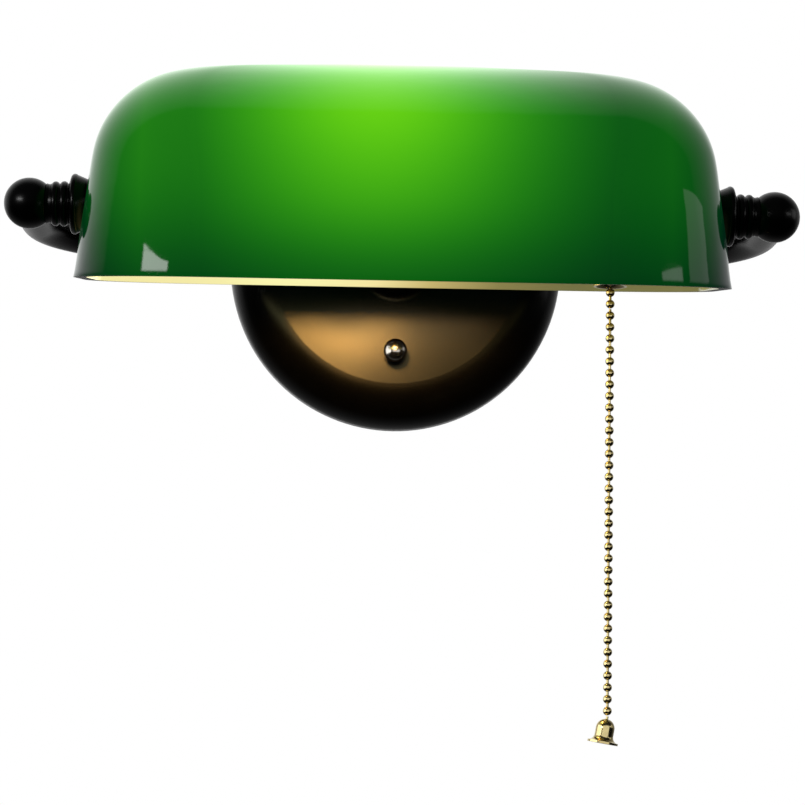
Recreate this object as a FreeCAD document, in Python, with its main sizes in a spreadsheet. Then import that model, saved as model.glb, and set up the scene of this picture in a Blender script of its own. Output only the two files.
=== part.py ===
import FreeCAD, Part
import math
import os

import Sketcher

# Wall-mounted banker lamp. Millimetres.
# Origin: centre of the wall plate's back face. +X to the right for a person who faces the wall,
# +Y into the wall, +Z up, so the whole lamp lies at Y <= 0.
# The shade, its collars and the socket turn together about one X axis, the "pivot axis".

DRIVING_SIZES = [
    # the pivot axis and the things on it
    ("pivot_reach", 125.0, "wall to pivot axis"),
    ("knuckle_offset", 127.2, "lamp centre to each ball knuckle"),
    ("knuckle_radius", 8.7, ""),
    ("seat_offset", 106.0, "lamp centre to the glass seat that each washer presses on"),
    ("seat_radius", 13.0, "flat round seat in each end of the glass"),
    ("washer_radius", 10.7, ""),
    ("washer_thickness", 0.8, ""),
    ("gasket_thickness", 0.8, ""),
    ("locknut_flats", 15.0, "width across flats"),
    ("locknut_thickness", 4.0, ""),
    ("pipe_radius", 4.8, "threaded hollow nipples"),
    ("pipe_bore", 3.0, ""),
    ("journal_clearance", 0.08, "radial, nipple in ball knuckle"),
    # glass shade, before it is tilted
    ("shade_width", 219.8, "at the rim"),
    ("shade_rise", 49.0, "pivot axis to crest"),
    ("shade_drop", 25.3, "pivot axis to rim"),
    ("shade_tilt", 7.7, "front edge down, degrees"),
    ("crown_radius", 860.0, "slight crown along the lamp"),
    ("shoulder_radius", 35.0, "at each end of the crown"),
    ("end_flare", 7.5, "degrees"),
    ("arch_radius", 61.0, "arch across the lamp"),
    ("arch_flare", 12.5, "degrees"),
    ("plan_corner", 44.0, "corner radius at the rim"),
    ("glass_wall", 4.0, ""),
    # yoke, hub and stem
    ("tube_radius", 6.5, ""),
    ("tube_wall", 1.5, ""),
    ("bend_radius", 50.0, "yoke corners"),
    ("yoke_depth", 82.0, "pivot axis to crossbar, toward the wall"),
    ("hub_radius", 10.5, ""),
    ("arm_engagement", 4.8, "lamp centre to each arm's end inside the hub"),
    # wall plate
    ("plate_radius", 63.0, ""),
    ("plate_depth", 21.0, ""),
    ("face_radius", 47.0, "flat front face"),
    ("plate_wall", 1.0, ""),
    ("nut_spacing", 70.6, "between the two cap nuts"),
    ("cap_ball", 4.4, "ball of a cap nut"),
    ("stud_radius", 2.0, ""),
    ("strap_thickness", 2.0, ""),
    ("strap_width", 16.0, ""),
    ("strap_length", 96.0, ""),
    ("slot_spacing", 60.0, "between slot centres"),
    ("slot_width", 4.5, ""),
    ("slot_length", 16.0, ""),
    # socket and bulb, coaxial with the pivot axis
    ("socket_radius", 16.6, "shell outside"),
    ("socket_mouth", 38.0, "lamp centre to the open end"),
    ("bulb_radius", 23.8, "globe"),
    ("bulb_centre", -8.0, "lamp centre to globe centre"),
    # pull chain
    ("chain_offset", 71.1, "lamp centre to the chain"),
    ("guide_mouth", 5.75, "bell mouth radius"),
    ("guide_end", 25.0, "pivot axis down to the mouth"),
    ("bead_radius", 1.5, ""),
    ("bead_pitch", 3.94, ""),
    ("link_radius", 0.45, ""),
    ("bell_flange", 5.15, ""),
    ("bell_body", 3.15, ""),
    ("bell_tilt", 10.0, "the pull hangs a little askew, degrees"),
]

doc = FreeCAD.newDocument("BankerWallLamp")
sheet = doc.addObject("Spreadsheet::Sheet", "Sizes")
nodes = {}


class Size:
    """A number that also knows the sheet expression it comes from."""

    def __init__(self, value, text):
        self.value = float(value)
        self.text = text

    def joined(self, sign, other, swapped=False):
        other = other if isinstance(other, Size) else Size(other, repr(float(other)))
        left, right = (other, self) if swapped else (self, other)
        results = {
            "+": lambda a, b: a + b,
            "-": lambda a, b: a - b,
            "*": lambda a, b: a * b,
            "/": lambda a, b: a / b,
        }
        value = results[sign](left.value, right.value)
        return Size(value, "(%s %s %s)" % (left.text, sign, right.text))

    def __add__(self, other):
        return self.joined("+", other)

    __radd__ = __add__

    def __sub__(self, other):
        return self.joined("-", other)

    def __rsub__(self, other):
        return self.joined("-", other, swapped=True)

    def __mul__(self, other):
        return self.joined("*", other)

    __rmul__ = __mul__

    def __truediv__(self, other):
        return self.joined("/", other)

    def __neg__(self):
        return 0 - self


def fill_sheet():
    for row, (alias, value, note) in enumerate(DRIVING_SIZES, start=1):
        sheet.set("A%d" % row, alias)
        sheet.set("B%d" % row, str(value))
        sheet.setAlias("B%d" % row, alias)
        sheet.set("C%d" % row, note)
    doc.recompute()


fill_sheet()
S = {alias: Size(value, "Sizes." + alias) for alias, value, _ in DRIVING_SIZES}


def number(size):
    return size.value if isinstance(size, Size) else float(size)


def bind(thing, path, size):
    """Sets a property to a size, and keeps it bound to the sheet where the size comes from there."""
    if isinstance(size, Size):
        thing.setExpression(path, size.text)
    else:
        setattr(thing, path, size)


def place(thing, x=0.0, y=0.0, z=0.0, turn=None):
    """Places a piece. turn is (axis, degrees)."""
    axis, degrees = turn if turn else ((0, 0, 1), 0.0)
    rotation = FreeCAD.Rotation(FreeCAD.Vector(*axis), number(degrees))
    thing.Placement = FreeCAD.Placement(FreeCAD.Vector(number(x), number(y), number(z)), rotation)
    for name, size in (("x", x), ("y", y), ("z", z)):
        if isinstance(size, Size):
            thing.setExpression(".Placement.Base." + name, size.text)
    if isinstance(degrees, Size):
        thing.setExpression(".Placement.Rotation.Angle", degrees.text)
    return thing


def node(name, thing):
    """Names a finished sub-part. The label is also its file's name."""
    thing.Label = name
    nodes[name] = thing
    return thing


# ---- sketches -------------------------------------------------------------------------------------


def plane_of(body, role):
    return next(f for f in body.Origin.OriginFeatures if f.Role == role)


def new_sketch(body, name, plane, lift=0.0):
    sketch = body.newObject("Sketcher::SketchObject", name)
    sketch.AttachmentSupport = (plane_of(body, plane), [""])
    sketch.MapMode = "FlatFace"
    sketch.AttachmentOffset = FreeCAD.Placement(FreeCAD.Vector(0, 0, number(lift)), FreeCAD.Rotation())
    if isinstance(lift, Size):
        sketch.setExpression(".AttachmentOffset.Base.z", lift.text)
    return sketch


def pin(sketch, geometry, point, u, v):
    """Fixes one point of a sketch at (u, v), bound to the sheet where u or v comes from there."""
    for kind, size in (("DistanceX", u), ("DistanceY", v)):
        index = sketch.addConstraint(Sketcher.Constraint(kind, -1, 1, geometry, point, number(size)))
        if isinstance(size, Size):
            sketch.setExpression("Constraints[%d]" % index, size.text)


def draw_outline(sketch, corners):
    """A closed outline. A corner is (u, v), or (u, v, mid_u, mid_v) when an arc leads on from it."""
    first = sketch.GeometryCount
    count = len(corners)
    at = [FreeCAD.Vector(number(c[0]), number(c[1]), 0) for c in corners]
    starts = []
    for i, corner in enumerate(corners):
        end = at[(i + 1) % count]
        if len(corner) == 4:
            middle = FreeCAD.Vector(number(corner[2]), number(corner[3]), 0)
            anticlockwise = (middle - at[i]).cross(end - at[i]).z > 0
            arc = Part.Arc(at[i], middle, end) if anticlockwise else Part.Arc(end, middle, at[i])
            sketch.addGeometry(arc)
            starts.append(1 if anticlockwise else 2)
            centre = sketch.Geometry[first + i].Center
            chord = end - at[i]
            # With both ends fixed, one coordinate of the centre settles the arc.
            if abs(chord.y) > abs(chord.x):
                settle = Sketcher.Constraint("DistanceX", -1, 1, first + i, 3, centre.x)
            else:
                settle = Sketcher.Constraint("DistanceY", -1, 1, first + i, 3, centre.y)
            sketch.addConstraint(settle)
        else:
            sketch.addGeometry(Part.LineSegment(at[i], end))
            starts.append(1)
    for i in range(count):
        after = (i + 1) % count
        joint = Sketcher.Constraint("Coincident", first + i, 3 - starts[i], first + after, starts[after])
        sketch.addConstraint(joint)
    for i, corner in enumerate(corners):
        pin(sketch, first + i, starts[i], corner[0], corner[1])


def draw_circle(sketch, u, v, radius):
    circle = Part.Circle(FreeCAD.Vector(number(u), number(v), 0), FreeCAD.Vector(0, 0, 1), number(radius))
    index = sketch.addGeometry(circle)
    pin(sketch, index, 3, u, v)
    bound = sketch.addConstraint(Sketcher.Constraint("Radius", index, number(radius)))
    if isinstance(radius, Size):
        sketch.setExpression("Constraints[%d]" % bound, radius.text)


# ---- bodies ---------------------------------------------------------------------------------------


def new_body(name):
    return doc.addObject("PartDesign::Body", name)


def revolve(body, corners, plane="XY_Plane", axis="V_Axis", tag="turned"):
    """A turned shape: an outline in (u, v) about the sketch's vertical (V) or horizontal (H) axis."""
    sketch = new_sketch(body, body.Name + "_" + tag + "_outline", plane)
    draw_outline(sketch, corners)
    turned = body.newObject("PartDesign::Revolution", body.Name + "_" + tag)
    turned.Profile = sketch
    turned.ReferenceAxis = (sketch, [axis])
    turned.Angle = 360
    doc.recompute()
    return turned


def require_less(body, before):
    if body.Shape.Volume > before - 1e-3:
        raise RuntimeError(body.Name + ": a cut removed nothing")


def pad(body, drawer, length, plane="XZ_Plane", lift=0.0, tag="pad"):
    sketch = new_sketch(body, body.Name + "_" + tag + "_outline", plane, lift)
    drawer(sketch)
    made = body.newObject("PartDesign::Pad", body.Name + "_" + tag)
    made.Profile = sketch
    bind(made, "Length", length)
    doc.recompute()
    return made


def pocket(body, drawer, plane="XZ_Plane", tag="holes"):
    """Cuts a sketch through the whole body, both ways."""
    before = body.Shape.Volume
    sketch = new_sketch(body, body.Name + "_" + tag + "_outline", plane)
    drawer(sketch)
    cut = body.newObject("PartDesign::Pocket", body.Name + "_" + tag)
    cut.Profile = sketch
    cut.SideType = "Symmetric"
    cut.Type = "ThroughAll"
    doc.recompute()
    require_less(body, before)
    return cut


def cut_away(name, base, tool):
    cut = doc.addObject("Part::Cut", name)
    cut.Base = base
    cut.Tool = tool
    doc.recompute()
    return cut


def fused(name, things):
    joined = doc.addObject("Part::MultiFuse", name)
    joined.Shapes = things
    doc.recompute()
    return joined


def mirrored(name, source, normal=(1, 0, 0)):
    """The same piece on the other side of the lamp."""
    copy = doc.addObject("Part::Mirroring", name)
    copy.Source = source
    copy.Normal = FreeCAD.Vector(*normal)
    doc.recompute()
    return copy


def pair(name, source, normal=(1, 0, 0)):
    """Two identical pieces as one group of separate solids."""
    group = doc.addObject("Part::Compound", name + "_pair")
    group.Links = [source, mirrored(name + "_other", source, normal)]
    doc.recompute()
    return node(name, group)


def cylinder(name, radius, length, turn=None, x=0.0, y=0.0, z=0.0):
    """A cylinder along +Z, or as turned."""
    made = doc.addObject("Part::Cylinder", name)
    bind(made, "Radius", radius)
    bind(made, "Height", length)
    return place(made, x, y, z, turn)


def sphere(name, radius, x=0.0, y=0.0, z=0.0):
    made = doc.addObject("Part::Sphere", name)
    bind(made, "Radius", radius)
    return place(made, x, y, z)


def box(name, sizes, x=0.0, y=0.0, z=0.0):
    made = doc.addObject("Part::Box", name)
    for path, size in zip(("Length", "Width", "Height"), sizes):
        bind(made, path, size)
    return place(made, x, y, z)


def ring(name, inner, outer, thickness, along, start):
    """A flat ring about the lamp's X or Y axis, from start toward + along that axis."""
    body = new_body(name)
    if along == "X":
        corners = [(start, inner), (start, outer), (start + thickness, outer), (start + thickness, inner)]
        revolve(body, corners, axis="H_Axis")
    else:
        corners = [(inner, start), (outer, start), (outer, start + thickness), (inner, start + thickness)]
        revolve(body, corners)
    return body


ALONG_X = ((0, 1, 0), 90)
ALONG_Y = ((1, 0, 0), -90)
COS_45 = math.cos(math.radians(45))
PIVOT_Y = -S["pivot_reach"]
INNER_SEAT = S["seat_offset"] - S["glass_wall"]
INNER_NUT_END = INNER_SEAT - S["gasket_thickness"] - S["locknut_thickness"]
CAP_HUB_END = INNER_NUT_END - 8.2


def on_pivot(body):
    """Moves a body that was drawn about X = the pivot axis to that axis."""
    return place(body, y=PIVOT_Y)


# ---- wall plate and what fastens it ---------------------------------------------------------------

PLATE_FRONT = -S["plate_depth"]
NUT_Z = S["nut_spacing"] / 2
CAP_WASHER = 0.8


def wall_plate():
    """A spun shell: flat face, quarter-round shoulder, and a lip turned in on the wall."""
    edge, face, wall = S["plate_radius"], S["face_radius"], S["plate_wall"]
    shoulder = edge - face
    spring_line = PLATE_FRONT + shoulder
    hole = S["pipe_radius"] + 0.05
    lip = edge - 5.5
    inner = shoulder - wall
    body = new_body("wall_plate_body")
    revolve(body, [
        (edge, 0),
        (edge, spring_line, face + shoulder * COS_45, spring_line - shoulder * COS_45),
        (face, PLATE_FRONT),
        (hole, PLATE_FRONT),
        (hole, PLATE_FRONT + wall),
        (face, PLATE_FRONT + wall, face + inner * COS_45, spring_line - inner * COS_45),
        (edge - wall, spring_line),
        (edge - wall, -wall),
        (lip, -wall),
        (lip, 0),
    ])

    def stud_holes(sketch):
        draw_circle(sketch, 0, NUT_Z, S["stud_radius"] + 0.3)
        draw_circle(sketch, 0, -NUT_Z, S["stud_radius"] + 0.3)

    pocket(body, stud_holes)
    node("wall_plate", body)


def mounting_bracket():
    """A cross-shaped strap on the wall: two slots for the wall screws, two tapped holes for the studs."""
    arm, half = S["strap_length"] / 2, S["strap_width"] / 2
    body = new_body("mounting_bracket_body")

    def cross(sketch):
        draw_outline(sketch, [
            (arm, -half), (arm, half), (half, half), (half, arm), (-half, arm), (-half, half),
            (-arm, half), (-arm, -half), (-half, -half), (-half, -arm), (half, -arm), (half, -half),
        ])

    def holes(sketch):
        draw_circle(sketch, 0, 0, S["pipe_radius"] + 0.7)
        draw_circle(sketch, 0, 20, 1.8)
        draw_circle(sketch, 0, NUT_Z, S["stud_radius"])
        draw_circle(sketch, 0, -NUT_Z, S["stud_radius"])
        straight = (S["slot_length"] - S["slot_width"]) / 2
        round_end = S["slot_width"] / 2
        for side in (-1, 1):
            centre = S["slot_spacing"] / 2 * side
            draw_outline(sketch, [
                (centre - straight, -round_end),
                (centre + straight, -round_end, centre + straight + round_end, 0),
                (centre + straight, round_end),
                (centre - straight, round_end, centre - straight - round_end, 0),
            ])

    pad(body, cross, S["strap_thickness"])
    pocket(body, holes)
    node("mounting_bracket", body)


def canopy_studs():
    stud = cylinder("canopy_stud", S["stud_radius"], 26, ALONG_Y, y=-26, z=NUT_Z)
    pair("canopy_studs", stud, (0, 0, 1))


def cap_nuts():
    """A ball on a short collar, with a blind thread for the stud."""
    ball, bore = S["cap_ball"], S["stud_radius"]
    neck = 2.6
    centre = -ball - 0.45
    neck_top = centre.value + math.sqrt(ball.value ** 2 - neck ** 2)
    body = new_body("cap_nut_body")
    revolve(body, [
        (bore, 0),
        (3.3, 0),
        (3.3, -1.1),
        (neck, neck_top, ball, centre),
        (0, centre - ball),
        (0, -5.2),
        (bore, -5.2),
    ])
    place(body, y=PLATE_FRONT - CAP_WASHER, z=NUT_Z)
    pair("cap_nuts", body, (0, 0, 1))


def cap_nut_washers():
    washer = ring("cap_nut_washer", S["stud_radius"], 4.7, CAP_WASHER, "Y", 0)
    place(washer, y=PLATE_FRONT - CAP_WASHER, z=NUT_Z)
    pair("cap_nut_washers", washer, (0, 0, 1))


def ground_screw():
    head = -S["strap_thickness"] - 2.2
    body = new_body("ground_screw_body")
    under_head = -S["strap_thickness"]
    revolve(body, [(0, 0), (1.8, 0), (1.8, under_head), (3.6, under_head), (3.6, head), (0, head)])
    slot = box("ground_screw_slot", (8, 1.2, 1), x=-4, y=head - 0.2, z=-0.5)
    screw = cut_away("ground_screw_cut", body, slot)
    node("ground_screw", place(screw, z=20))


# ---- stem, hub and yoke ---------------------------------------------------------------------------

HUB_Y = PIVOT_Y + S["yoke_depth"]
STEM_FAR = HUB_Y + 9.0
NUT_ON_PLATE = 4.0
LOCK_WASHER = 1.0
NECK_LENGTH = 7.0
SPIGOT_LENGTH = 10.0
WIRE_BORE = 2.6
INSIDE_FACE = PLATE_FRONT + S["plate_wall"]


def hexagon(sketch, flats, hole, u=0, v=0):
    corner = number(flats) / math.sqrt(3)
    points = []
    for k in range(6):
        angle = math.radians(60 * k)
        points.append((u + corner * math.cos(angle), v + corner * math.sin(angle)))
    draw_outline(sketch, points)
    draw_circle(sketch, u, v, hole)


def stem():
    pipe, bore = S["pipe_radius"], S["pipe_bore"]
    tube = ring("stem_tube_body", pipe, S["tube_radius"], PLATE_FRONT - STEM_FAR, "Y", STEM_FAR)
    node("stem_tube", tube)
    nipple_start = HUB_Y + 6.6
    node("stem_nipple", ring("stem_nipple_body", bore, pipe, -8 - nipple_start, "Y", nipple_start))
    node("stem_lock_washer", ring("stem_lock_washer_body", pipe, 8.5, LOCK_WASHER, "Y", INSIDE_FACE))
    nut = new_body("stem_locknut_body")
    nut_front = -(INSIDE_FACE + LOCK_WASHER + NUT_ON_PLATE)
    pad(nut, lambda sketch: hexagon(sketch, S["locknut_flats"], pipe), NUT_ON_PLATE, lift=nut_front)
    node("stem_locknut", nut)
    rosette = new_body("stem_rosette_body")
    inner = S["tube_radius"]
    revolve(rosette, [
        (inner, PLATE_FRONT),
        (17, PLATE_FRONT),
        (17, PLATE_FRONT - 1.4, 11.2, PLATE_FRONT - 3.4),
        (8.6, PLATE_FRONT - 8),
        (inner, PLATE_FRONT - 8),
    ])
    node("stem_rosette", rosette)


def yoke_hub():
    """A bored ball: both arms plug into its cross bore, and the stem stands on its flat."""
    ball, bore = S["hub_radius"].value, S["tube_radius"].value
    half = math.sqrt(ball ** 2 - bore ** 2)
    body = new_body("hub_body")
    revolve(body, [(half, bore, 0, ball), (-half, bore)], axis="H_Axis")
    place(body, y=HUB_Y)
    tools = fused("hub_stem_bores", [
        cylinder("hub_stem_bore", S["pipe_radius"], ball + 4, ALONG_Y, y=HUB_Y),
        cylinder("hub_stem_seat", bore, 5, ALONG_Y, y=STEM_FAR),
    ])
    node("yoke_hub", cut_away("yoke_hub_cut", body, tools))


def yoke_arms():
    """A bent tube from the hub, out along the crossbar, round one corner and forward to the ball."""
    start, side, bend = S["arm_engagement"], S["knuckle_offset"], S["bend_radius"]
    front = PIVOT_Y + NECK_LENGTH
    body = new_body("yoke_arm_body")
    path = new_sketch(body, "yoke_arm_path", "XY_Plane")
    corner_x, corner_y = side - bend, HUB_Y - bend
    middle = (corner_x + bend * COS_45, corner_y + bend * COS_45)
    points = [(start, HUB_Y), (corner_x, HUB_Y), (side, corner_y), (side, front)]
    at = [FreeCAD.Vector(number(u), number(v), 0) for u, v in points]
    path.addGeometry(Part.LineSegment(at[0], at[1]))
    path.addGeometry(Part.Arc(at[1], FreeCAD.Vector(number(middle[0]), number(middle[1]), 0), at[2]))
    path.addGeometry(Part.LineSegment(at[2], at[3]))
    pin(path, 0, 1, *points[0])
    pin(path, 0, 2, *points[1])
    pin(path, 2, 1, *points[2])
    pin(path, 2, 2, *points[3])
    # The sketcher keeps the arc anticlockwise, so it runs from the side back to the crossbar.
    path.addConstraint(Sketcher.Constraint("Coincident", 1, 1, 2, 1))
    path.addConstraint(Sketcher.Constraint("Coincident", 1, 2, 0, 2))
    radius = path.addConstraint(Sketcher.Constraint("Radius", 1, number(bend)))
    path.setExpression("Constraints[%d]" % radius, bend.text)
    section = new_sketch(body, "yoke_arm_section", "YZ_Plane", lift=start)
    draw_circle(section, HUB_Y, 0, S["tube_radius"])
    draw_circle(section, HUB_Y, 0, S["tube_radius"] - S["tube_wall"])
    pipe = body.newObject("PartDesign::AdditivePipe", "yoke_arm_pipe")
    pipe.Profile = section
    pipe.Spine = (path, ["Edge1", "Edge2", "Edge3"])
    doc.recompute()
    node("yoke_arm_right", body)
    node("yoke_arm_left", mirrored("yoke_arm_left_body", body))


def ball_knuckles():
    """A ball with a neck that meets the arm, a spigot inside the tube, and a blind bore for the pivot."""
    x, ball = S["knuckle_offset"], S["knuckle_radius"]
    solid = fused("knuckle_solid", [
        sphere("knuckle_ball", ball, x=x, y=PIVOT_Y),
        cylinder("knuckle_neck", S["tube_radius"] - 0.9, NECK_LENGTH, ALONG_Y, x=x, y=PIVOT_Y),
        cylinder("knuckle_spigot", S["tube_radius"] - S["tube_wall"], NECK_LENGTH + SPIGOT_LENGTH,
                 ALONG_Y, x=x, y=PIVOT_Y),
    ])
    blind_end = 3.8
    journal = S["pipe_radius"] + S["journal_clearance"]
    tools = fused("knuckle_bores", [
        cylinder("knuckle_pivot_bore", journal, ball + blind_end + 1, ALONG_X, x=x - ball - 1, y=PIVOT_Y),
        cylinder("knuckle_wire_bore", WIRE_BORE, NECK_LENGTH + SPIGOT_LENGTH + 1, ALONG_Y, x=x, y=PIVOT_Y),
    ])
    right = cut_away("ball_knuckle_cut", solid, tools)
    node("ball_knuckle_right", right)
    node("ball_knuckle_left", mirrored("ball_knuckle_left_cut", right))


# ---- pivots and the glass shade -------------------------------------------------------------------

NIPPLE_OUTER_END = 2.8

def collars():
    """Turned collar from the ball knuckle to the washer: neck, two beads, rounded flange."""
    washer_side = S["seat_offset"] + S["washer_thickness"]
    ball = S["knuckle_offset"]
    bore = S["pipe_radius"]
    body = new_body("collar_body")
    revolve(body, [
        (washer_side, bore),
        (washer_side, 8.5),
        (washer_side + 0.8, 8.6),
        (ball - 16.4, 9.9, ball - 15.5, 10.3),
        (ball - 14.2, 9.2),
        (ball - 13.4, 6.9),
        (ball - 13.1, 6.9, ball - 11.8, 7.7),
        (ball - 10.5, 6.9),
        (ball - 10.1, 6.9, ball - 8.9, 7.6),
        (ball - 7.7, 6.9),
        (ball - 6.9, 6.6),
        (ball - 5.6, 6.9),
        (ball - 5.6, bore),
    ], axis="H_Axis")
    on_pivot(body)
    clear = 0.3
    socket = sphere("collar_ball_seat", S["knuckle_radius"] + clear, x=ball, y=PIVOT_Y)
    right = cut_away("collar_cut", body, socket)
    node("collar_right", right)
    node("collar_left", mirrored("collar_left_cut", right))


def pivot_nipples():
    bore, pipe = S["pipe_bore"], S["pipe_radius"]
    outer_end = S["knuckle_offset"] - NIPPLE_OUTER_END
    for side, inner_end in (("right", CAP_HUB_END), ("left", INNER_NUT_END - 2)):
        body = ring("pivot_nipple_%s_body" % side, bore, pipe, outer_end - inner_end, "X", inner_end)
        on_pivot(body)
        made = body if side == "right" else mirrored("pivot_nipple_left_copy", body)
        node("pivot_nipple_" + side, made)


def seat_washers_and_nuts():
    pipe = S["pipe_radius"]
    outer = ring("seat_washer", pipe, S["washer_radius"], S["washer_thickness"], "X", S["seat_offset"])
    pair("seat_washers", on_pivot(outer))
    gasket_start = INNER_SEAT - S["gasket_thickness"]
    gasket = ring("gasket", pipe, S["washer_radius"], S["gasket_thickness"], "X", gasket_start)
    pair("gaskets", on_pivot(gasket))
    nut = new_body("glass_locknut")
    thick = S["locknut_thickness"]
    pad(nut, lambda sketch: hexagon(sketch, S["locknut_flats"], pipe), thick, "YZ_Plane", INNER_NUT_END)
    pair("glass_locknuts", on_pivot(nut))


def shoulder_centre():
    """Centre of the end shoulder's arc, tangent inside to the crown and to the flared end."""
    flare = math.radians(S["end_flare"].value)
    rim, rise, drop = S["shade_width"].value / 2, S["shade_rise"].value, S["shade_drop"].value
    crown, shoulder = S["crown_radius"].value, S["shoulder_radius"].value
    z = rise - shoulder
    for _ in range(20):
        x = rim - (shoulder + math.sin(flare) * (drop + z)) / math.cos(flare)
        z = rise - crown + math.sqrt((crown - shoulder) ** 2 - x ** 2)
    return x, z


def half_width(z, wall):
    """Half the shade's width at height z over the pivot axis, on the face that lies wall inside."""
    flare = math.radians(S["end_flare"].value)
    rim, rise, drop = S["shade_width"].value / 2, S["shade_rise"].value, S["shade_drop"].value
    crown, shoulder = S["crown_radius"].value, S["shoulder_radius"].value
    x, centre = shoulder_centre()
    crown_centre = rise - crown
    scale = (crown - wall) / (crown - shoulder)
    if z > crown_centre + (centre - crown_centre) * scale:
        return math.sqrt((crown - wall) ** 2 - (z - crown_centre) ** 2)
    if z > centre + (shoulder - wall) * math.sin(flare):
        return x + math.sqrt((shoulder - wall) ** 2 - (z - centre) ** 2)
    return rim - (z + drop) * math.tan(flare) - wall / math.cos(flare)


def half_depth(z, wall):
    """Half the shade's depth at height z: an arch that runs into flared sides."""
    flare = math.radians(S["arch_flare"].value)
    radius = S["arch_radius"].value
    centre = S["shade_rise"].value - radius
    if z > centre + (radius - wall) * math.sin(flare):
        return math.sqrt((radius - wall) ** 2 - (z - centre) ** 2)
    foot = centre + radius * math.sin(flare) - z
    return radius * math.cos(flare) + foot * math.tan(flare) - wall / math.cos(flare)


def rounded_rectangle(half_x, half_y, corner, z):
    """A closed wire of four sides and four quarter arcs at height z."""
    edges = []
    reach = corner * (1 - COS_45)
    for sx, sy, turn in ((1, 1, 1), (-1, 1, -1), (-1, -1, 1), (1, -1, -1)):
        on_side = FreeCAD.Vector(sx * half_x, sy * (half_y - corner), z)
        on_long = FreeCAD.Vector(sx * (half_x - corner), sy * half_y, z)
        middle = FreeCAD.Vector(sx * (half_x - reach), sy * (half_y - reach), z)
        first, last = (on_side, on_long) if turn > 0 else (on_long, on_side)
        edges.append((first, middle, last))
    parts = []
    for k, (first, middle, last) in enumerate(edges):
        parts.append(Part.Arc(first, middle, last).toShape())
        following = edges[(k + 1) % 4][0]
        parts.append(Part.LineSegment(last, following).toShape())
    return Part.Wire(parts)


def shade_loft(wall, foot):
    """A solid through level sections of the shade, wall inside its outer face, from foot to the crest."""
    crest = S["shade_rise"].value - wall
    rim_depth = half_depth(-S["shade_drop"].value, 0)
    bend = S["plan_corner"].value / rim_depth
    wires = []
    for angle in (0, 10, 20, 30, 40, 50, 58, 66, 73, 79, 84, 87.5):
        z = foot + (crest - foot) * math.sin(math.radians(angle))
        depth = half_depth(z, wall)
        wires.append(rounded_rectangle(half_width(z, wall), depth, depth * bend, z))
    return Part.makeLoft(wires, True, False)


def glass_shade():
    """A cased glass shade: an arched box, open below, with a flat seat and a hole at each end."""
    drop, wall = S["shade_drop"].value, S["glass_wall"].value
    seat, seat_radius = S["seat_offset"].value, S["seat_radius"].value
    hole = S["pipe_radius"].value + 0.3
    gasket_pad = S["washer_radius"].value + 0.3
    glass = shade_loft(0, -drop)
    cavity = shade_loft(wall, -drop - 3)

    def disc(side, radius, start, length):
        return Part.makeCylinder(radius, length, FreeCAD.Vector(side * start, 0, 0), FreeCAD.Vector(side, 0, 0))

    for side in (-1, 1):
        glass = glass.fuse(disc(side, seat_radius - 1.5, seat - 8, 8))
        cavity = cavity.cut(disc(side, seat_radius + 1, seat - wall, 10))
        cavity = cavity.fuse(disc(side, gasket_pad, seat - wall - 5, 5))
    glass = glass.cut(cavity)
    for side in (-1, 1):
        glass = glass.cut(disc(side, seat_radius, seat, 12))
        glass = glass.cut(disc(side, hole, seat - 20, 30))
    feature = doc.addObject("Part::Feature", "glass_shade_shell")
    feature.Shape = glass
    node("glass_shade", place(feature, y=PIVOT_Y, turn=((1, 0, 0), S["shade_tilt"])))


# ---- socket, switch and bulb ----------------------------------------------------------------------

HOUSING_FRONT = 64.6
HOUSING_BACK = 84.0


def turned_on_pivot(name, corners):
    body = new_body(name + "_body")
    revolve(body, corners, axis="H_Axis")
    return on_pivot(body)


def with_guide_hole(name, body):
    """The same tube with a hole below for the chain guide."""
    hole = cylinder(name + "_guide_hole", 3.6, 25, x=S["chain_offset"], y=PIVOT_Y, z=-25)
    return node(name, cut_away(name + "_cut", body, hole))


def socket_shells():
    radius, mouth = S["socket_radius"], S["socket_mouth"]
    wall = 0.6
    with_guide_hole("socket_shell", turned_on_pivot("socket_shell", [
        (mouth, radius - wall),
        (mouth, radius + 0.6),
        (mouth + 1.5, radius + 0.6),
        (mouth + 1.5, radius),
        (80, radius),
        (80, radius - wall),
    ]))
    liner = radius - wall
    with_guide_hole("socket_liner", turned_on_pivot("socket_liner", [
        (mouth + 2, liner - 0.8),
        (mouth + 2, liner),
        (79, liner),
        (79, liner - 0.8),
    ]))
    skirt = radius + 0.8
    pipe = S["pipe_radius"]
    node("socket_cap", turned_on_pivot("socket_cap", [
        (INNER_NUT_END, pipe),
        (INNER_NUT_END, 7),
        (95, 7, 90.5, 14.2),
        (82, skirt),
        (76, skirt),
        (76, radius),
        (82, radius, 89.9, 13.5),
        (94, 7),
        (CAP_HUB_END, 7),
        (CAP_HUB_END, pipe),
    ]))


def switch_housing():
    """The moulded body behind the screw shell, with a chamber for the lever and the chain's head."""
    radius = S["socket_radius"] - 1.4
    body = turned_on_pivot("switch_housing", [
        (HOUSING_FRONT, 0),
        (HOUSING_FRONT, radius),
        (HOUSING_BACK, radius),
        (HOUSING_BACK, 0),
    ])
    tools = fused("switch_housing_hollows", [
        box("lever_chamber", (14, 6, 12), x=69, y=PIVOT_Y - 3, z=-14),
        cylinder("guide_thread", 3, 12, x=S["chain_offset"], y=PIVOT_Y, z=-20),
        cylinder("lever_pin_hole", 1, 14, ALONG_Y, x=LEVER_X, y=PIVOT_Y - 7, z=LEVER_Z),
    ])
    node("switch_housing", cut_away("switch_housing_cut", body, tools))


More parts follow.
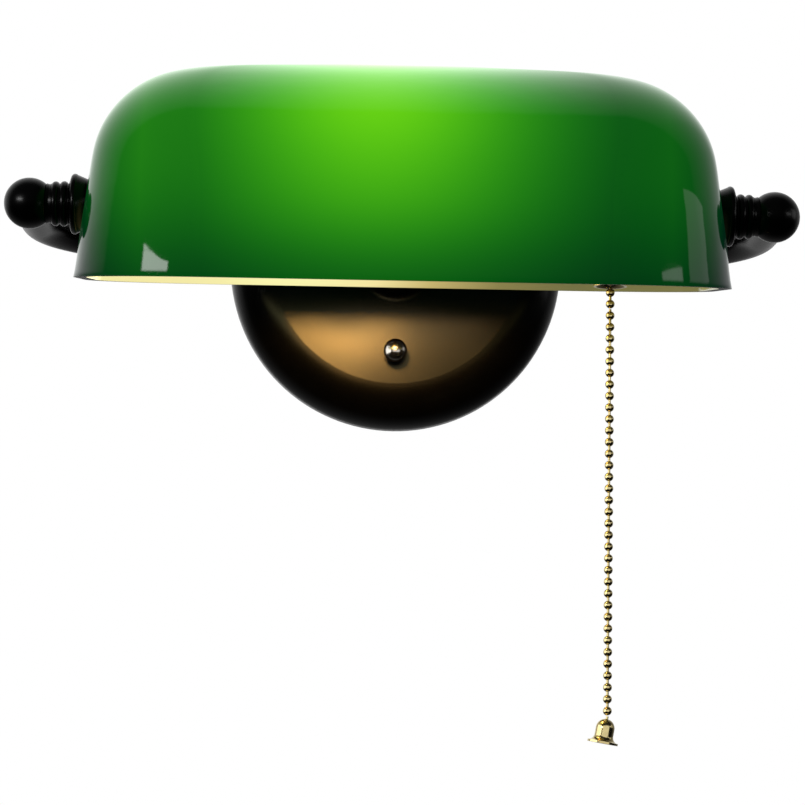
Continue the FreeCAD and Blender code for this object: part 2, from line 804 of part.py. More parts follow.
def contacts():
    node("screw_shell", turned_on_pivot("screw_shell", [
        (42, 13.3),
        (42, 13.8),
        (HOUSING_FRONT, 13.8),
        (HOUSING_FRONT, 5),
        (HOUSING_FRONT - 0.5, 5),
        (HOUSING_FRONT - 0.5, 13.3),
    ]))
    node("centre_contact", turned_on_pivot("centre_contact", [
        (HOUSING_FRONT - 0.9, 0),
        (HOUSING_FRONT - 0.9, 2.6),
        (HOUSING_FRONT, 3.4),
        (HOUSING_FRONT, 0),
    ]))
    screw = cylinder("terminal_screw", 2.6, 2.4, ALONG_X, x=HOUSING_BACK, y=PIVOT_Y, z=9)
    pair("terminal_screws", screw, (0, 0, 1))


LEVER_X = 79.5
LEVER_Z = -7.0
LEVER_PIN = 1.0


def switch_lever():
    """The chain's head pulls this lever down. It turns on a pin across the chamber."""
    hub = cylinder("lever_hub", 3.0, 3.6, ALONG_Y, x=LEVER_X, y=PIVOT_Y - 1.8, z=LEVER_Z)
    arm = box("lever_arm", (6.2, 3.6, 1.6), x=LEVER_X - 6.2, y=PIVOT_Y - 1.8, z=LEVER_Z - 0.8)
    bore = cylinder("lever_bore", LEVER_PIN + 0.05, 6, ALONG_Y, x=LEVER_X, y=PIVOT_Y - 3, z=LEVER_Z)
    node("switch_lever", cut_away("switch_lever_cut", fused("lever_solid", [hub, arm]), bore))
    node("lever_pin", cylinder("lever_pin_rod", LEVER_PIN, 14, ALONG_Y, x=LEVER_X, y=PIVOT_Y - 7, z=LEVER_Z))


def chain_guide():
    """A threaded tube with a collar on the socket shell and a bell mouth for the chain."""
    mouth, end = S["guide_mouth"], -S["guide_end"]
    body = new_body("chain_guide_body")
    revolve(body, [
        (2, -12.6),
        (3, -12.6),
        (3, -16.7),
        (4.4, -16.7),
        (4.4, -18.2),
        (3, -18.6),
        (2.7, -20, 3.6, -22.8),
        (mouth, end + 0.7),
        (mouth, end),
        (mouth - 0.7, end, 3, -23.2),
        (2, -20.4),
    ], plane="XZ_Plane")
    node("chain_guide", place(body, x=S["chain_offset"], y=PIVOT_Y))


def pear_profile(shrink, foot, neck):
    """A bulb's outline from its tip to its foot: a globe that runs into a neck through one hollow arc."""
    centre, globe = S["bulb_centre"].value, S["bulb_radius"].value
    run = foot - centre
    hollow = (run ** 2 + neck ** 2 - globe ** 2) / (2 * (globe - neck))
    reach = globe + hollow
    along, across = run / reach, (neck + hollow) / reach
    half_turn = math.asin(along) / 2
    size, arc = globe - shrink, hollow + shrink
    return [
        (centre - size, 0, centre - size * COS_45, size * COS_45),
        (centre + size * along, size * across,
         foot - arc * math.sin(half_turn), neck + hollow - arc * math.cos(half_turn)),
        (foot, neck - shrink),
    ]


def bulb():
    foot, neck, wall = 38.5, 12.2, 1.0
    outside = pear_profile(0, foot, neck)
    inside = pear_profile(wall, foot, neck)
    # The way back along the inner face, with each arc's middle moved to the point that it leads on from.
    back = [inside[2] + inside[1][2:], inside[1][:2] + inside[0][2:], inside[0][:2]]
    node("bulb_glass", turned_on_pivot("bulb_glass", outside + back))
    cap = 12.95
    node("bulb_cap", turned_on_pivot("bulb_cap", [
        (foot, 0),
        (foot, neck),
        (foot + 1, cap),
        (60, cap),
        (62.4, 6),
        (63.2, 5),
        (63.2, 0),
    ]))
    stem, length = 8.0, 26.0
    mount = turned_on_pivot("bulb_mount", [
        (stem, 0), (stem, 4.6), (stem + 3, 4.6), (stem + 6, 1.8), (foot, 4.5), (foot, 0),
    ])
    threads = [mount]
    for k in range(4):
        angle = math.radians(45 + 90 * k)
        y, z = 3 * math.cos(angle), 3 * math.sin(angle)
        threads.append(cylinder("filament_%d" % k, 0.8, length, ALONG_X, x=stem - length, y=PIVOT_Y + y, z=z))
    threads.append(cylinder("filament_bridge", 4.6, 1, ALONG_X, x=stem - length - 1, y=PIVOT_Y))
    node("bulb_filament", fused("bulb_filament_solid", threads))


# ---- wiring ---------------------------------------------------------------------------------------

WIRE_END = 14.0
WIRE_NUT_START = 24.0
WIRE_NUT_Y = -9.0
NUT_OFFSET = 7.0


def rod(start, end, radius):
    line = FreeCAD.Vector(*end) - FreeCAD.Vector(*start)
    return Part.makeCylinder(radius, line.Length, FreeCAD.Vector(*start), line)


def supply_wire():
    """From the wall, through the stem and the hub, along the right arm to its ball knuckle."""
    back, hub_y = -5.0, HUB_Y.value
    side, bend = S["knuckle_offset"].value, S["bend_radius"].value
    radius, turn = 2.0, 4.0
    front = PIVOT_Y.value + 2.6
    diagonal = COS_45

    def arc(first, centre, to_first, to_last, size, last):
        middle = [centre[k] + size * diagonal * (to_first[k] + to_last[k]) for k in (0, 1)]
        return Part.Arc(FreeCAD.Vector(*first, 0), FreeCAD.Vector(*middle, 0), FreeCAD.Vector(*last, 0))

    hub_turn = 6.0
    near_wall = arc((turn, back), (turn, back - turn), (0, 1), (-1, 0), turn, (0, back - turn))
    in_hub = arc((0, hub_y + hub_turn), (hub_turn, hub_y + hub_turn), (-1, 0), (0, -1), hub_turn,
                 (hub_turn, hub_y))
    corner = arc((side - bend, hub_y), (side - bend, hub_y - bend), (0, 1), (1, 0), bend,
                 (side, hub_y - bend))
    lines = [((WIRE_END, back), (turn, back)), ((0, back - turn), (0, hub_y + hub_turn)),
             ((hub_turn, hub_y), (side - bend, hub_y)), ((side, hub_y - bend), (side, front))]
    runs = [Part.LineSegment(FreeCAD.Vector(*a, 0), FreeCAD.Vector(*b, 0)) for a, b in lines]
    order = [runs[0], near_wall, runs[1], in_hub, runs[2], corner, runs[3]]
    path = Part.Wire([piece.toShape() for piece in order])
    start = FreeCAD.Vector(WIRE_END, back, 0)
    section = Part.Wire(Part.makeCircle(radius, start, FreeCAD.Vector(-1, 0, 0)))
    cable = path.makePipeShell([section], True, False)
    for z in (-NUT_OFFSET, NUT_OFFSET):
        elbow = (WIRE_NUT_START - 1, WIRE_NUT_Y, z)
        cable = cable.fuse(rod((WIRE_END - 0.6, back, 0), elbow, 0.9))
        cable = cable.fuse(Part.makeSphere(0.9, FreeCAD.Vector(*elbow)))
        cable = cable.fuse(rod(elbow, (WIRE_NUT_START + 4, WIRE_NUT_Y, z), 0.9))
    feature = doc.addObject("Part::Feature", "supply_wire_run")
    feature.Shape = cable.removeSplitter()
    node("supply_wire", feature)


def socket_leads():
    """From the ball knuckle's hollow, through the right nipple, to both terminal screws."""
    outer, y = S["knuckle_offset"].value - NIPPLE_OUTER_END - 0.6, PIVOT_Y.value
    inner = CAP_HUB_END.value - 0.6
    cable = rod((outer, y, 0), (inner, y, 0), 2.0)
    for z in (-5.4, 5.4):
        cable = cable.fuse(rod((inner + 0.8, y, 0), (HOUSING_BACK + 1.2, y, z), 0.8))
    feature = doc.addObject("Part::Feature", "socket_leads_run")
    feature.Shape = cable.removeSplitter()
    node("socket_leads", feature)


def wire_nuts():
    """Two twist-on connectors, open toward the cable."""
    body = new_body("wire_nut_body")
    start = WIRE_NUT_START
    revolve(body, [
        (start, 3.4),
        (start, 5),
        (start + 3, 5.2),
        (start + 16, 3.4),
        (start + 17, 2.6),
        (start + 17, 0),
        (start + 9, 0),
    ], axis="H_Axis")
    place(body, y=WIRE_NUT_Y, z=NUT_OFFSET)
    pair("wire_nuts", body, (0, 0, 1))


# ---- pull chain -----------------------------------------------------------------------------------

HEAD_TOP = -7.4
HEAD_BEADS = 5
NECK_BEADS = 2
STRAND_BEADS = 35
# Each length of chain, and the pull, hangs by a link whose end is this far above its hinge.
LINK_END = 0.2


def beads(name, first, count):
    """Beads on short links, hanging straight down from the bead at place first in the chain."""
    pitch, radius, link = S["bead_pitch"].value, S["bead_radius"].value, S["link_radius"].value
    x, y = S["chain_offset"].value, PIVOT_Y.value
    top = HEAD_TOP - pitch * first
    solids = []
    for k in range(count):
        solids.append(Part.makeSphere(radius, FreeCAD.Vector(x, y, top - pitch * k)))
    start = top if first == 0 else top + pitch / 2 + LINK_END
    end = top - pitch * (count - 1)
    thread = Part.makeCylinder(link, start - end, FreeCAD.Vector(x, y, end))
    chain = thread.multiFuse(solids)
    feature = doc.addObject("Part::Feature", name + "_beads")
    feature.Shape = chain
    node(name, feature)


def pull_bell():
    """A small bell. Its own frame has its hinge at the origin, half a pitch below the last bead."""
    flange, body_radius, link = S["bell_flange"], S["bell_body"], S["link_radius"]
    top = -0.7
    body = new_body("pull_bell_body")
    revolve(body, [
        (0, LINK_END),
        (link, LINK_END),
        (link, top, body_radius * COS_45, top - body_radius * (1 - COS_45)),
        (body_radius, top - body_radius),
        (body_radius, top - 5.6, body_radius + 0.45, top - 6.8),
        (flange, top - 7.6),
        (flange, top - 8.3),
        (flange - 1, top - 8.3, 2.8, top - 7.2),
        (2.3, top - 5.6),
        (2.3, top - 4),
        (0, top - 3),
    ], plane="XZ_Plane")
    links = HEAD_BEADS + NECK_BEADS + STRAND_BEADS - 0.5
    hook = HEAD_TOP - S["bead_pitch"] * links
    placed = place(body, x=S["chain_offset"], y=PIVOT_Y, z=hook, turn=((0, 1, 0), S["bell_tilt"]))
    node("pull_bell", placed)


# ---- build, check and write -----------------------------------------------------------------------


def build():
    wall_plate()
    mounting_bracket()
    canopy_studs()
    cap_nuts()
    cap_nut_washers()
    ground_screw()
    stem()
    yoke_hub()
    yoke_arms()
    ball_knuckles()
    collars()
    pivot_nipples()
    seat_washers_and_nuts()
    glass_shade()
    socket_shells()
    switch_housing()
    contacts()
    switch_lever()
    chain_guide()
    bulb()
    supply_wire()
    socket_leads()
    wire_nuts()
    beads("chain_head", 0, HEAD_BEADS)
    beads("chain_neck", HEAD_BEADS, NECK_BEADS)
    beads("chain_strand", HEAD_BEADS + NECK_BEADS, STRAND_BEADS)
    pull_bell()
    doc.recompute()


def check():
    for thing in doc.Objects:
        if "Invalid" in thing.State or "Error" in thing.State:
            raise RuntimeError("%s failed: %s" % (thing.Name, thing.State))
    for name, thing in nodes.items():
        shape = thing.Shape
        if shape.isNull() or not shape.isValid() or not shape.Solids:
            raise RuntimeError(name + " has no valid solid")


def write():
    os.makedirs("parts", exist_ok=True)
    for name, thing in nodes.items():
        thing.Shape.exportStep("parts/" + name + ".step")
        shape_box = thing.Shape.BoundBox
        lows = "%.1f %.1f %.1f" % (shape_box.XMin, shape_box.YMin, shape_box.ZMin)
        highs = "%.1f %.1f %.1f" % (shape_box.XMax, shape_box.YMax, shape_box.ZMax)
        print("%-22s %9.1f mm3  %s  to  %s" % (name, thing.Shape.Volume, lows, highs))


build()
check()
write()
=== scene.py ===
"""Looks for the wall-mounted banker lamp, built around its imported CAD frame.

Metres. +X to the right for a person who faces the wall, +Y into the wall, +Z up. The lamp hangs on
the plane Y = 0. Its shade, collars, socket and bulb turn about one line along X, the pivot axis.
"""

import math

import bmesh
import bpy
from mathutils import Matrix, Vector


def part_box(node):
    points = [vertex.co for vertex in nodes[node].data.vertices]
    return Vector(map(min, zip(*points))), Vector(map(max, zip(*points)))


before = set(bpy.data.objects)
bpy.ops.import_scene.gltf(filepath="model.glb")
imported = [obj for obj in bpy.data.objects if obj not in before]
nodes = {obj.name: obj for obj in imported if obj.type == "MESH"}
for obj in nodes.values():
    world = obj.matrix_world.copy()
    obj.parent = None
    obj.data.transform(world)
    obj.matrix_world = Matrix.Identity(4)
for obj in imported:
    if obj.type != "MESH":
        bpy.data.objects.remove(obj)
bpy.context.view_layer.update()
scene = bpy.context.scene


# ---- where things are, from the frame --------------------------------------------------------------


def middle(node):
    low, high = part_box(node)
    return (low + high) / 2


PIVOT = Vector((0, middle("switch_housing").y, 0))
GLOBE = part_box("bulb_glass")
GLOBE_RADIUS = (GLOBE[1].z - GLOBE[0].z) / 2
BULB = Vector((GLOBE[0].x + GLOBE_RADIUS, PIVOT.y, 0))


# ---- node materials --------------------------------------------------------------------------------


def srgb(red, green, blue):
    """A colour from screen values 0 to 255, as the linear RGBA that a shader takes."""

    def linear(value):
        value /= 255
        return value / 12.92 if value <= 0.04045 else ((value + 0.055) / 1.055) ** 2.4

    return (linear(red), linear(green), linear(blue), 1.0)


class Paint:
    """A material's node tree. Each method adds a node and returns the socket to read."""

    def __init__(self, name):
        self.material = bpy.data.materials.new(name)
        self.material.use_nodes = True
        self.tree = self.material.node_tree
        self.tree.nodes.clear()
        self.output = self.tree.nodes.new("ShaderNodeOutputMaterial")

    def node(self, kind, **settings):
        made = self.tree.nodes.new(kind)
        for key, value in settings.items():
            setattr(made, key, value)
        return made

    def feed(self, socket, value):
        if isinstance(value, bpy.types.NodeSocket):
            self.tree.links.new(value, socket)
        elif value is not None:
            socket.default_value = value

    def place(self, kind="Object"):
        """Coordinates fixed to the piece, in metres."""
        return self.node("ShaderNodeTexCoord").outputs[kind]

    def math(self, operation, first, second=None):
        made = self.node("ShaderNodeMath", operation=operation)
        for socket, value in zip(made.inputs, (first, second)):
            self.feed(socket, value)
        return made.outputs[0]

    def vector(self, operation, first, second=None, output="Vector"):
        made = self.node("ShaderNodeVectorMath", operation=operation)
        self.feed(made.inputs[0], first)
        self.feed(made.inputs[1], second)
        return made.outputs[output]

    def noise(self, size, detail=3.0, roughness=0.5, stretch=(1, 1, 1)):
        """Noise from 0 to 1 with features about size metres across."""
        where = self.vector("MULTIPLY", self.place(), tuple(s / size for s in stretch))
        made = self.node("ShaderNodeTexNoise")
        self.feed(made.inputs["Vector"], where)
        made.inputs["Scale"].default_value = 1.0
        made.inputs["Detail"].default_value = detail
        made.inputs["Roughness"].default_value = roughness
        return made.outputs["Fac"]

    def remap(self, value, low, high, to_low, to_high):
        """value, which runs from low to high, stretched to run from to_low to to_high and held there."""
        made = self.node("ShaderNodeMapRange")
        for socket, number in zip(made.inputs, (value, low, high, to_low, to_high)):
            self.feed(socket, number)
        return made.outputs[0]

    def ramp(self, value, stops):
        """A colour ramp. stops is a list of (place, colour)."""
        made = self.node("ShaderNodeValToRGB")
        elements = made.color_ramp.elements
        while len(elements) < len(stops):
            elements.new(0.5)
        for element, (spot, colour) in zip(elements, stops):
            element.position = spot
            element.color = colour
        self.feed(made.inputs[0], value)
        return made.outputs[0]

    def even(self, radius):
        """The surface's direction, evened out over radius metres."""
        made = self.node("ShaderNodeBevel", samples=8)
        made.inputs["Radius"].default_value = radius
        return made.outputs[0]

    def bump(self, height, depth, strength=1.0, over=None):
        """Relief of depth metres where height goes from 0 to 1, on a surface that faces over."""
        made = self.node("ShaderNodeBump")
        if over:
            self.feed(made.inputs["Normal"], over)
        made.inputs["Strength"].default_value = strength
        made.inputs["Distance"].default_value = depth
        self.feed(made.inputs["Height"], height)
        return made.outputs[0]

    def finish(self, **sockets):
        """One Principled shader with these inputs. Spaces in an input's name are underscores here."""
        shader = self.node("ShaderNodeBsdfPrincipled")
        for name, value in sockets.items():
            self.feed(shader.inputs[name.replace("_", " ")], value)
        self.tree.links.new(shader.outputs[0], self.output.inputs[0])
        return self.material


# ---- metals and small parts ------------------------------------------------------------------------


def black_metal():
    """Satin black powder coat: fine orange peel, a few paler rubs."""
    paint = Paint("satin_black")
    peel = paint.noise(0.0011, detail=2, roughness=0.45)
    rubs = paint.noise(0.02, detail=4, roughness=0.6)
    coat = (0.0006, 0.0006, 0.0006, 1)
    rubbed = (0.0014, 0.0014, 0.0013, 1)
    return paint.finish(
        Base_Color=paint.ramp(rubs, [(0.35, coat), (0.8, rubbed)]),
        Roughness=paint.remap(rubs, 0.3, 0.75, 0.235, 0.265),
        IOR=1.5,
        Normal=paint.bump(peel, 0.000008),
    )


def polished_metal(name, base, worn, roughness):
    """Bright metal with faint tarnish and fine scuffs. roughness is its least and its most."""
    paint = Paint(name)
    tarnish = paint.noise(0.004, detail=5, roughness=0.6)
    scuffs = paint.noise(0.0006, detail=2, stretch=(1, 1, 0.15))
    low, high = roughness
    return paint.finish(
        Base_Color=paint.ramp(tarnish, [(0.3, base), (0.75, worn)]),
        Metallic=1.0,
        Roughness=paint.remap(tarnish, 0.3, 0.7, low, high),
        Normal=paint.bump(scuffs, 0.000004),
    )


def moulded(name, base, fleck, roughness, depth=0.00001):
    """Matt moulded or pressed stuff, with flecks of a second colour and a grain depth metres deep."""
    paint = Paint(name)
    speck = paint.noise(0.002, detail=5, roughness=0.65)
    skin = paint.noise(0.0005, detail=2)
    return paint.finish(
        Base_Color=paint.ramp(speck, [(0.4, base), (0.72, fleck)]),
        Roughness=paint.remap(speck, 0.3, 0.7, roughness - 0.05, roughness + 0.08),
        Normal=paint.bump(skin, depth),
    )


# ---- glass -----------------------------------------------------------------------------------------

# The glow of the bulb through the green layer, painted into the glass's emission as a painted glow.
GLOW_CENTRE = BULB + Vector((-0.002, 0, 0.002))
GLOW_DISTANCE = 0.040
GLOW_POWER = 4.9
GLOW_SQUEEZE = (0.48, 0.86, 1.0)
# The painted glow fades from FADE_START to FADE_END, toward each end of the shade and toward the wall,
# as painted shade there.
END_FADE_START, END_FADE_END, END_GLOW = 0.086, 0.106, 0.10
WALL_FADE_START, WALL_FADE_END, WALL_GLOW = PIVOT.y - 0.010, PIVOT.y + 0.035, 0.12
# Green light passes in step with what reaches the glass, and red as its square, so thin light is
# deep green and strong light is yellow-green.
GREEN_PASS = 1.35
RED_PASS = 0.6
BLUE_LEAK = 0.006
BRIGHTEST = 0.52
# The blown walls catch the light as if they bowed outward a little, most at this height.
BOW_LEVEL = -0.017
BOW_RADIUS = 0.3
SMOOTHING = 0.003


def lamplight(paint, spot, distance, power, squeeze=(1, 1, 1)):
    """How strongly light from spot meets a face that looks away from it: 1 head on at distance. The
    glass materials paint their glow from this.
    """
    reach = paint.vector("SUBTRACT", paint.place(), tuple(spot))
    length = paint.vector("LENGTH", paint.vector("MULTIPLY", reach, squeeze), output="Value")
    away = paint.vector("NORMALIZE", reach)
    facing = paint.vector("DOT_PRODUCT", away, paint.place("Normal"), output="Value")
    facing = paint.math("ABSOLUTE", facing)
    near = paint.math("POWER", paint.math("DIVIDE", distance, length), power)
    return paint.math("MULTIPLY", facing, near)


def green_glass():
    """The outer green layer. The lamp's light through it is painted into its emission as a painted glow,
    most where it is near the bulb.
    """
    paint = Paint("green_glass")
    light = lamplight(paint, GLOW_CENTRE, GLOW_DISTANCE, GLOW_POWER, GLOW_SQUEEZE)
    where = paint.node("ShaderNodeSeparateXYZ")
    paint.feed(where.inputs[0], paint.place())
    along, depth, height = where.outputs

    # Painted shade: the painted glow is dimmed toward the ends of the shade and toward the wall.
    painted_end_shade = paint.remap(paint.math("ABSOLUTE", along), END_FADE_START, END_FADE_END, 1.0, END_GLOW)
    painted_wall_shade = paint.remap(depth, WALL_FADE_START, WALL_FADE_END, 1.0, WALL_GLOW)
    light = paint.math("MULTIPLY", light, painted_end_shade)
    light = paint.math("MULTIPLY", light, painted_wall_shade)
    light = paint.math("MINIMUM", light, BRIGHTEST)

    glow = paint.node("ShaderNodeCombineColor")
    squared = paint.math("MULTIPLY", light, light)
    paint.feed(glow.inputs["Red"], paint.math("MULTIPLY", squared, RED_PASS))
    paint.feed(glow.inputs["Green"], paint.math("MULTIPLY", light, GREEN_PASS))
    paint.feed(glow.inputs["Blue"], BLUE_LEAK)

    above = paint.math("SUBTRACT", height, BOW_LEVEL)
    bow = paint.math("DIVIDE", paint.math("MULTIPLY", above, above), -2 * BOW_RADIUS)
    bowed = paint.bump(bow, 1.0, over=paint.even(SMOOTHING))
    ripple = paint.noise(0.035, detail=1)
    return paint.finish(
        Base_Color=(0.0, 0.012, 0.003, 1),
        Roughness=0.035,
        IOR=1.52,
        Emission_Color=glow.outputs[0],
        Emission_Strength=1.0,
        Normal=paint.bump(ripple, 0.00012, 0.10, over=bowed),
    )


def opal_glass():
    """The white layer inside. The bulb's light on it is painted into its emission as a painted glow."""
    paint = Paint("opal_glass")
    brightest_at = BULB - Vector((0.035, 0, 0))
    light = lamplight(paint, brightest_at, distance=0.055, power=2.6)
    # Painted light: the opal's colours run from dim to fully lit as the painted glow from the bulb
    # grows.
    glow = paint.ramp(paint.math("SQRT", light), [
        (0.15, srgb(90, 94, 60)),
        (0.32, srgb(128, 120, 72)),
        (0.45, srgb(190, 172, 108)),
        (0.58, srgb(236, 222, 158)),
        (0.75, srgb(246, 243, 176)),
    ])
    return paint.finish(
        Base_Color=(0.10, 0.11, 0.07, 1),
        Roughness=0.12,
        IOR=1.5,
        Emission_Color=glow,
        Emission_Strength=1.0,
    )


def glass_edge():
    """The ground and fire-polished edge of the rim, where both layers show as one dark green."""
    paint = Paint("glass_edge")
    grind = paint.noise(0.0008, detail=3)
    hollow = (0.004, 0.022, 0.005, 1)
    crest = (0.008, 0.034, 0.009, 1)
    return paint.finish(
        Base_Color=paint.ramp(grind, [(0.3, hollow), (0.7, crest)]),
        Roughness=paint.remap(grind, 0.3, 0.7, 0.42, 0.55),
        IOR=1.5,
        Normal=paint.bump(grind, 0.00001),
    )


def lit_bulb():
    """A frosted bulb, on. It is a little less bright toward its neck."""
    paint = Paint("lit_bulb")
    along = paint.node("ShaderNodeSeparateXYZ")
    paint.feed(along.inputs[0], paint.place())
    warm = paint.ramp(
        paint.remap(along.outputs[0], BULB.x, GLOBE[1].x, 0.0, 1.0),
        [(0.0, (1.0, 0.80, 0.44, 1)), (1.0, (0.85, 0.52, 0.22, 1))],
    )
    return paint.finish(
        Base_Color=(0.8, 0.8, 0.78, 1),
        Roughness=0.3,
        Emission_Color=warm,
        Emission_Strength=3.0,
    )


# The finish for each material slot that the record names.
FINISHES = {
    "black_metal": black_metal(),
    "green_glass": green_glass(),
    "brass": polished_metal("brass", (0.80, 0.68, 0.34, 1), (0.58, 0.46, 0.22, 1), (0.10, 0.20)),
    "steel": polished_metal(
        "zinc_plated_steel", (0.62, 0.63, 0.62, 1), (0.45, 0.44, 0.40, 1), (0.28, 0.42)
    ),
    "nickel": polished_metal("nickel", (0.62, 0.58, 0.52, 1), (0.52, 0.48, 0.42, 1), (0.14, 0.24)),
    "bulb_glass": lit_bulb(),
    "phenolic": moulded("phenolic", (0.018, 0.010, 0.007, 1), (0.04, 0.022, 0.014, 1), 0.32),
    "insulating_paper": moulded("insulating_paper", (0.16, 0.13, 0.09, 1), (0.24, 0.2, 0.14, 1), 0.8),
    "gasket_felt": moulded("felt", (0.03, 0.03, 0.03, 1), (0.07, 0.07, 0.068, 1), 0.95, depth=0.0001),
    "wire_jacket": moulded("wire_jacket", (0.012, 0.012, 0.013, 1), (0.02, 0.02, 0.02, 1), 0.45),
    "wire_nut_plastic": moulded("wire_nut", (0.75, 0.34, 0.03, 1), (0.80, 0.42, 0.05, 1), 0.4),
}


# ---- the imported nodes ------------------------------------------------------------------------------


def dress(obj, *materials):
    """Gives an object these materials and no others."""
    obj.data.materials.clear()
    for material in materials:
        obj.data.materials.append(material)


for obj in nodes.values():
    dress(obj, FINISHES[obj.data.materials[0].name])

# The glass is green outside and opal inside. Faces that look down are the rim's edge.
GREEN, OPAL, EDGE = range(3)
shade = nodes["glass_shade"]
dress(shade, FINISHES["green_glass"], opal_glass(), glass_edge())
for face in shade.data.polygons:
    outward = face.normal.dot(face.center - PIVOT) > 0
    face.material_index = EDGE if face.normal.z < -0.6 else GREEN if outward else OPAL

dress(nodes["cap_nuts"], FINISHES["nickel"])

# The light of the bulb stands inside its glass.
nodes["bulb_glass"].visible_shadow = False


# ---- camera ----------------------------------------------------------------------------------------


def aim(obj, position, forward, roll):
    """Points an object's -Z along forward, with +Z of the world up, then rolls it by roll radians."""
    forward = forward.normalized()
    right = forward.cross(Vector((0, 0, 1))).normalized()
    up = right.cross(forward)
    turned_right = right * math.cos(roll) + up * math.sin(roll)
    turned_up = up * math.cos(roll) - right * math.sin(roll)
    axes = Matrix((turned_right, turned_up, -forward)).transposed().to_4x4()
    obj.matrix_world = Matrix.Translation(position) @ axes


def heading(azimuth, elevation):
    """A direction: azimuth from the way into the wall toward +X, and elevation, in degrees."""
    side, rise = math.radians(azimuth), math.radians(elevation)
    return Vector((
        math.sin(side) * math.cos(rise),
        math.cos(side) * math.cos(rise),
        math.sin(rise),
    ))


CAMERA_PLACE = Vector((-0.0209, -1.1059, -0.1773))
CAMERA_AZIMUTH, CAMERA_ELEVATION, CAMERA_ROLL = 1.268, 6.470, 0.875

camera_data = bpy.data.cameras.new("camera")
camera_data.lens = 130.3
camera_data.sensor_width = 36.0
camera_data.clip_end = 100.0
camera = bpy.data.objects.new("camera", camera_data)
scene.collection.objects.link(camera)
aim(camera, CAMERA_PLACE, heading(CAMERA_AZIMUTH, CAMERA_ELEVATION), math.radians(CAMERA_ROLL))
scene.camera = camera


# ---- lights ----------------------------------------------------------------------------------------

SHADE_CENTRE = Vector((0, PIVOT.y, 0.02))


def softbox(name, azimuth, elevation, width, height, radiance, roll=0):
    """A soft rectangle of light. Azimuth runs from straight out of the wall toward +X, in degrees."""
    toward = heading(180 - azimuth, elevation)
    data = bpy.data.lights.new(name, "AREA")
    data.shape = "RECTANGLE"
    data.size = width
    data.size_y = height
    data.energy = radiance * math.pi * width * height
    obj = bpy.data.objects.new(name, data)
    scene.collection.objects.link(obj)
    distance = 1.5
    aim(obj, SHADE_CENTRE + toward * distance, -toward, math.radians(roll))
    obj.visible_camera = False
    return obj


def link(light, state, names):
    """Has a light reach only these nodes (INCLUDE) or all but these (EXCLUDE)."""
    receivers = bpy.data.collections.new(light.name + "_receivers")
    for name in names:
        receivers.objects.link(nodes[name])
    light.light_linking.receiver_collection = receivers
    for item in receivers.collection_objects:
        item.light_linking.link_state = state


def bulb_light():
    """The warm light of the bulb, which falls on the wall plate. The glass gets no light from it; its
    glow is painted in its own materials.
    """
    data = bpy.data.lights.new("bulb_light", "POINT")
    data.shadow_soft_size = GLOBE_RADIUS * 0.5
    data.energy = 1.45
    data.color = (1.0, 0.50, 0.11)
    obj = bpy.data.objects.new("bulb_light", data)
    scene.collection.objects.link(obj)
    obj.location = BULB - Vector((0.011, 0, 0))
    link(obj, "EXCLUDE", ("glass_shade", "bulb_glass", "bulb_filament"))


# The windows that the glass mirrors at its left end, its right end and round the right corner.
softbox("softbox_left", -43.5, 8.3, 0.58, 0.20, 6.3, roll=-4.5)
softbox("softbox_right", 61.0, 8.0, 0.52, 0.162, 1.4)
softbox("softbox_side", 90.5, 10.2, 0.60, 0.60, 0.55, roll=-14)
bulb_light()

# Broad soft light that only the small bright metal gets.
BRIGHT_METAL = ("cap_nuts", "chain_guide", "chain_head", "chain_neck", "chain_strand", "pull_bell")
link(softbox("brass_fill", 8.0, 2.0, 2.4, 1.5, 0.9), "INCLUDE", BRIGHT_METAL)
link(softbox("brass_side_fill", -80.0, 2.0, 2.0, 1.6, 1.8), "INCLUDE", BRIGHT_METAL)


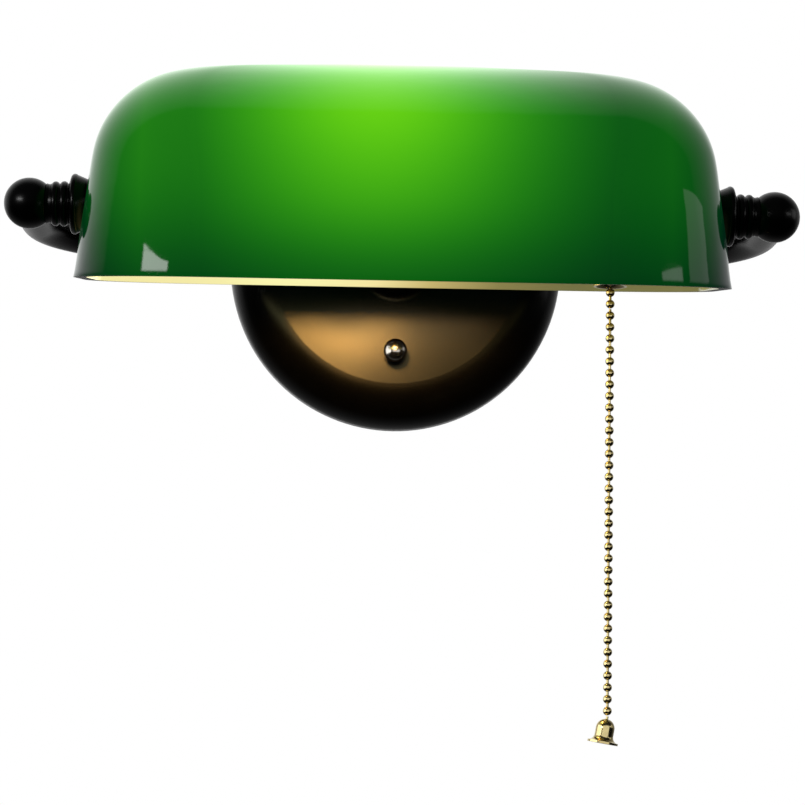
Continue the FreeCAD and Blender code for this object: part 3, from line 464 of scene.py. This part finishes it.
def studio_world():
    """White behind the lamp and brighter on the wall side, dim in the room in front of it."""
    world = bpy.data.worlds.new("studio")
    world.use_nodes = True
    tree = world.node_tree
    tree.nodes.clear()

    def add(kind, **settings):
        made = tree.nodes.new(kind)
        for key, value in settings.items():
            setattr(made, key, value)
        return made

    def stretch(value, *limits):
        made = add("ShaderNodeMapRange")
        tree.links.new(value, made.inputs[0])
        for socket, number in zip(made.inputs[1:5], limits):
            socket.default_value = number
        return made.outputs[0]

    split = add("ShaderNodeSeparateXYZ")
    tree.links.new(add("ShaderNodeTexCoord").outputs["Generated"], split.inputs[0])
    # From in front of the lamp to behind it.
    level = add("ShaderNodeValToRGB")
    stops = [(0.0, 0.03), (0.10, 0.03), (0.16, 0.15), (0.5, 0.45), (1.0, 1.0)]
    elements = level.color_ramp.elements
    while len(elements) < len(stops):
        elements.new(0.5)
    for element, (spot, value) in zip(elements, stops):
        element.position = spot
        element.color = (value, value, value, 1)
    tree.links.new(split.outputs["Y"], level.inputs[0])
    # Dimmer on the right, and below.
    right = stretch(split.outputs["X"], 0.05, 0.5, 1.0, 0.45)
    below = stretch(split.outputs["Z"], -0.25, 0.10, 0.15, 1.0)
    both = add("ShaderNodeMath", operation="MULTIPLY")
    tree.links.new(right, both.inputs[0])
    tree.links.new(below, both.inputs[1])
    dim = add("ShaderNodeBackground")
    tree.links.new(both.outputs[0], dim.inputs["Strength"])
    tree.links.new(level.outputs[0], dim.inputs["Color"])
    white = add("ShaderNodeBackground")
    white.inputs["Color"].default_value = (1, 1, 1, 1)
    pick = add("ShaderNodeMixShader")
    tree.links.new(add("ShaderNodeLightPath").outputs["Is Camera Ray"], pick.inputs[0])
    tree.links.new(dim.outputs[0], pick.inputs[1])
    tree.links.new(white.outputs[0], pick.inputs[2])
    output = add("ShaderNodeOutputWorld")
    tree.links.new(pick.outputs[0], output.inputs[0])
    return world


scene.world = studio_world()
scene.view_settings.view_transform = "Standard"


# ---- floor -----------------------------------------------------------------------------------------


FLOOR_LEVEL = -1.6
FLOOR_HALF_WIDTH = 20


def pale_floor():
    """A plain pale floor far below the lamp. It isn't part of the lamp's reflections."""
    mesh = bpy.data.meshes.new("floor")
    grid = bmesh.new()
    bmesh.ops.create_grid(grid, x_segments=8, y_segments=8, size=FLOOR_HALF_WIDTH)
    grid.to_mesh(mesh)
    grid.free()
    floor = bpy.data.objects.new("floor", mesh)
    scene.collection.objects.link(floor)
    floor.location = (0, 0, FLOOR_LEVEL)
    paint = Paint("pale_floor")
    grain = paint.noise(0.05, detail=3)
    shaded = (0.80, 0.80, 0.79, 1)
    lit = (0.84, 0.84, 0.83, 1)
    floor_paint = paint.finish(
        Base_Color=paint.ramp(grain, [(0.3, shaded), (0.7, lit)]),
        Roughness=0.7,
        Emission_Color=(1.0, 1.0, 0.99, 1),
        Emission_Strength=0.62,
    )
    dress(floor, floor_paint)
    floor.visible_glossy = False
    floor.visible_diffuse = False


pale_floor()
